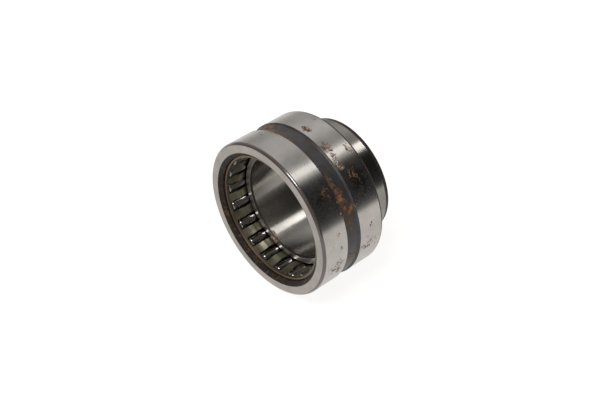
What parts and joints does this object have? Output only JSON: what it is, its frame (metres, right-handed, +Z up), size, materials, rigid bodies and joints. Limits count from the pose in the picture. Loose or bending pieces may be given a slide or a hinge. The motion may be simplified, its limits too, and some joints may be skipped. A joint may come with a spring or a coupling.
{
  "type": "needle roller bearing",
  "caption": "Machined needle roller bearing: ribbed outer ring with a lubrication groove, pressed window cage, needle rollers and a plain inner ring that turns on them.",
  "frame": {"origin": "centre of the outer ring, on the bearing axis", "axes": "+Y along the bearing axis towards the back, where the inner ring stands out; +Z up as the bearing lies on its side; the front face looks along -Y"},
  "size_m": [0.042, 0.0272, 0.042],
  "materials": {
    "outer_ring_steel": "ground bearing steel, dark unground groove and chamfers, light rust specks",
    "inner_ring_steel": "finely ground bearing steel",
    "cage_steel": "pressed sheet steel, dull, oiled",
    "roller_steel": "polished bearing steel"
  },
  "bodies": {
    "outer_ring": {"outer_ring": "outer_ring_steel"},
    "inner_ring": {"inner_ring": "inner_ring_steel"},
    "cage": {"cage": "cage_steel"},
    "roller_01": {"roller_01": "roller_steel"},
    "roller_02": {"roller_02": "roller_steel"},
    "roller_03": {"roller_03": "roller_steel"},
    "roller_04": {"roller_04": "roller_steel"},
    "roller_05": {"roller_05": "roller_steel"},
    "roller_06": {"roller_06": "roller_steel"},
    "roller_07": {"roller_07": "roller_steel"},
    "roller_08": {"roller_08": "roller_steel"},
    "roller_09": {"roller_09": "roller_steel"},
    "roller_10": {"roller_10": "roller_steel"},
    "roller_11": {"roller_11": "roller_steel"},
    "roller_12": {"roller_12": "roller_steel"},
    "roller_13": {"roller_13": "roller_steel"},
    "roller_14": {"roller_14": "roller_steel"},
    "roller_15": {"roller_15": "roller_steel"},
    "roller_16": {"roller_16": "roller_steel"},
    "roller_17": {"roller_17": "roller_steel"},
    "roller_18": {"roller_18": "roller_steel"},
    "roller_19": {"roller_19": "roller_steel"},
    "roller_20": {"roller_20": "roller_steel"}
  },
  "joints": [
    {"name": "inner_ring_spin", "type": "hinge", "parent": "outer_ring", "child": "inner_ring", "pos_m": [0, 0, 0], "axis": [0, 1, 0], "continuous": true},
    {"name": "cage_spin", "type": "hinge", "parent": "outer_ring", "child": "cage", "pos_m": [0, 0, 0], "axis": [0, 1, 0], "continuous": true},
    {"name": "roller_01_spin", "type": "hinge", "parent": "cage", "child": "roller_01", "pos_m": [0.00409, 0, 0.01704], "axis": [0, 1, 0], "continuous": true},
    {"name": "roller_02_spin", "type": "hinge", "parent": "cage", "child": "roller_02", "pos_m": [0.00915, 0, 0.01494], "axis": [0, 1, 0], "continuous": true},
    {"name": "roller_03_spin", "type": "hinge", "parent": "cage", "child": "roller_03", "pos_m": [0.01332, 0, 0.01138], "axis": [0, 1, 0], "continuous": true},
    {"name": "roller_04_spin", "type": "hinge", "parent": "cage", "child": "roller_04", "pos_m": [0.01619, 0, 0.0067], "axis": [0, 1, 0], "continuous": true},
    {"name": "roller_05_spin", "type": "hinge", "parent": "cage", "child": "roller_05", "pos_m": [0.01747, 0, 0.00137], "axis": [0, 1, 0], "continuous": true},
    {"name": "roller_06_spin", "type": "hinge", "parent": "cage", "child": "roller_06", "pos_m": [0.01704, 0, -0.00409], "axis": [0, 1, 0], "continuous": true},
    {"name": "roller_07_spin", "type": "hinge", "parent": "cage", "child": "roller_07", "pos_m": [0.01494, 0, -0.00915], "axis": [0, 1, 0], "continuous": true},
    {"name": "roller_08_spin", "type": "hinge", "parent": "cage", "child": "roller_08", "pos_m": [0.01138, 0, -0.01332], "axis": [0, 1, 0], "continuous": true},
    {"name": "roller_09_spin", "type": "hinge", "parent": "cage", "child": "roller_09", "pos_m": [0.0067, 0, -0.01619], "axis": [0, 1, 0], "continuous": true},
    {"name": "roller_10_spin", "type": "hinge", "parent": "cage", "child": "roller_10", "pos_m": [0.00137, 0, -0.01747], "axis": [0, 1, 0], "continuous": true},
    {"name": "roller_11_spin", "type": "hinge", "parent": "cage", "child": "roller_11", "pos_m": [-0.00409, 0, -0.01704], "axis": [0, 1, 0], "continuous": true},
    {"name": "roller_12_spin", "type": "hinge", "parent": "cage", "child": "roller_12", "pos_m": [-0.00915, 0, -0.01494], "axis": [0, 1, 0], "continuous": true},
    {"name": "roller_13_spin", "type": "hinge", "parent": "cage", "child": "roller_13", "pos_m": [-0.01332, 0, -0.01138], "axis": [0, 1, 0], "continuous": true},
    {"name": "roller_14_spin", "type": "hinge", "parent": "cage", "child": "roller_14", "pos_m": [-0.01619, 0, -0.0067], "axis": [0, 1, 0], "continuous": true},
    {"name": "roller_15_spin", "type": "hinge", "parent": "cage", "child": "roller_15", "pos_m": [-0.01747, 0, -0.00137], "axis": [0, 1, 0], "continuous": true},
    {"name": "roller_16_spin", "type": "hinge", "parent": "cage", "child": "roller_16", "pos_m": [-0.01704, 0, 0.00409], "axis": [0, 1, 0], "continuous": true},
    {"name": "roller_17_spin", "type": "hinge", "parent": "cage", "child": "roller_17", "pos_m": [-0.01494, 0, 0.00915], "axis": [0, 1, 0], "continuous": true},
    {"name": "roller_18_spin", "type": "hinge", "parent": "cage", "child": "roller_18", "pos_m": [-0.01138, 0, 0.01332], "axis": [0, 1, 0], "continuous": true},
    {"name": "roller_19_spin", "type": "hinge", "parent": "cage", "child": "roller_19", "pos_m": [-0.0067, 0, 0.01619], "axis": [0, 1, 0], "continuous": true},
    {"name": "roller_20_spin", "type": "hinge", "parent": "cage", "child": "roller_20", "pos_m": [-0.00137, 0, 0.01747], "axis": [0, 1, 0], "continuous": true}
  ],
  "couplings": [
    {"joint": "cage_spin", "follows": "inner_ring_spin", "ratio": 0.45714},
    {"joint": "roller_01_spin", "follows": "inner_ring_spin", "ratio": -5.7905},
    {"joint": "roller_02_spin", "follows": "inner_ring_spin", "ratio": -5.7905},
    {"joint": "roller_03_spin", "follows": "inner_ring_spin", "ratio": -5.7905},
    {"joint": "roller_04_spin", "follows": "inner_ring_spin", "ratio": -5.7905},
    {"joint": "roller_05_spin", "follows": "inner_ring_spin", "ratio": -5.7905},
    {"joint": "roller_06_spin", "follows": "inner_ring_spin", "ratio": -5.7905},
    {"joint": "roller_07_spin", "follows": "inner_ring_spin", "ratio": -5.7905},
    {"joint": "roller_08_spin", "follows": "inner_ring_spin", "ratio": -5.7905},
    {"joint": "roller_09_spin", "follows": "inner_ring_spin", "ratio": -5.7905},
    {"joint": "roller_10_spin", "follows": "inner_ring_spin", "ratio": -5.7905},
    {"joint": "roller_11_spin", "follows": "inner_ring_spin", "ratio": -5.7905},
    {"joint": "roller_12_spin", "follows": "inner_ring_spin", "ratio": -5.7905},
    {"joint": "roller_13_spin", "follows": "inner_ring_spin", "ratio": -5.7905},
    {"joint": "roller_14_spin", "follows": "inner_ring_spin", "ratio": -5.7905},
    {"joint": "roller_15_spin", "follows": "inner_ring_spin", "ratio": -5.7905},
    {"joint": "roller_16_spin", "follows": "inner_ring_spin", "ratio": -5.7905},
    {"joint": "roller_17_spin", "follows": "inner_ring_spin", "ratio": -5.7905},
    {"joint": "roller_18_spin", "follows": "inner_ring_spin", "ratio": -5.7905},
    {"joint": "roller_19_spin", "follows": "inner_ring_spin", "ratio": -5.7905},
    {"joint": "roller_20_spin", "follows": "inner_ring_spin", "ratio": -5.7905}
  ]
}
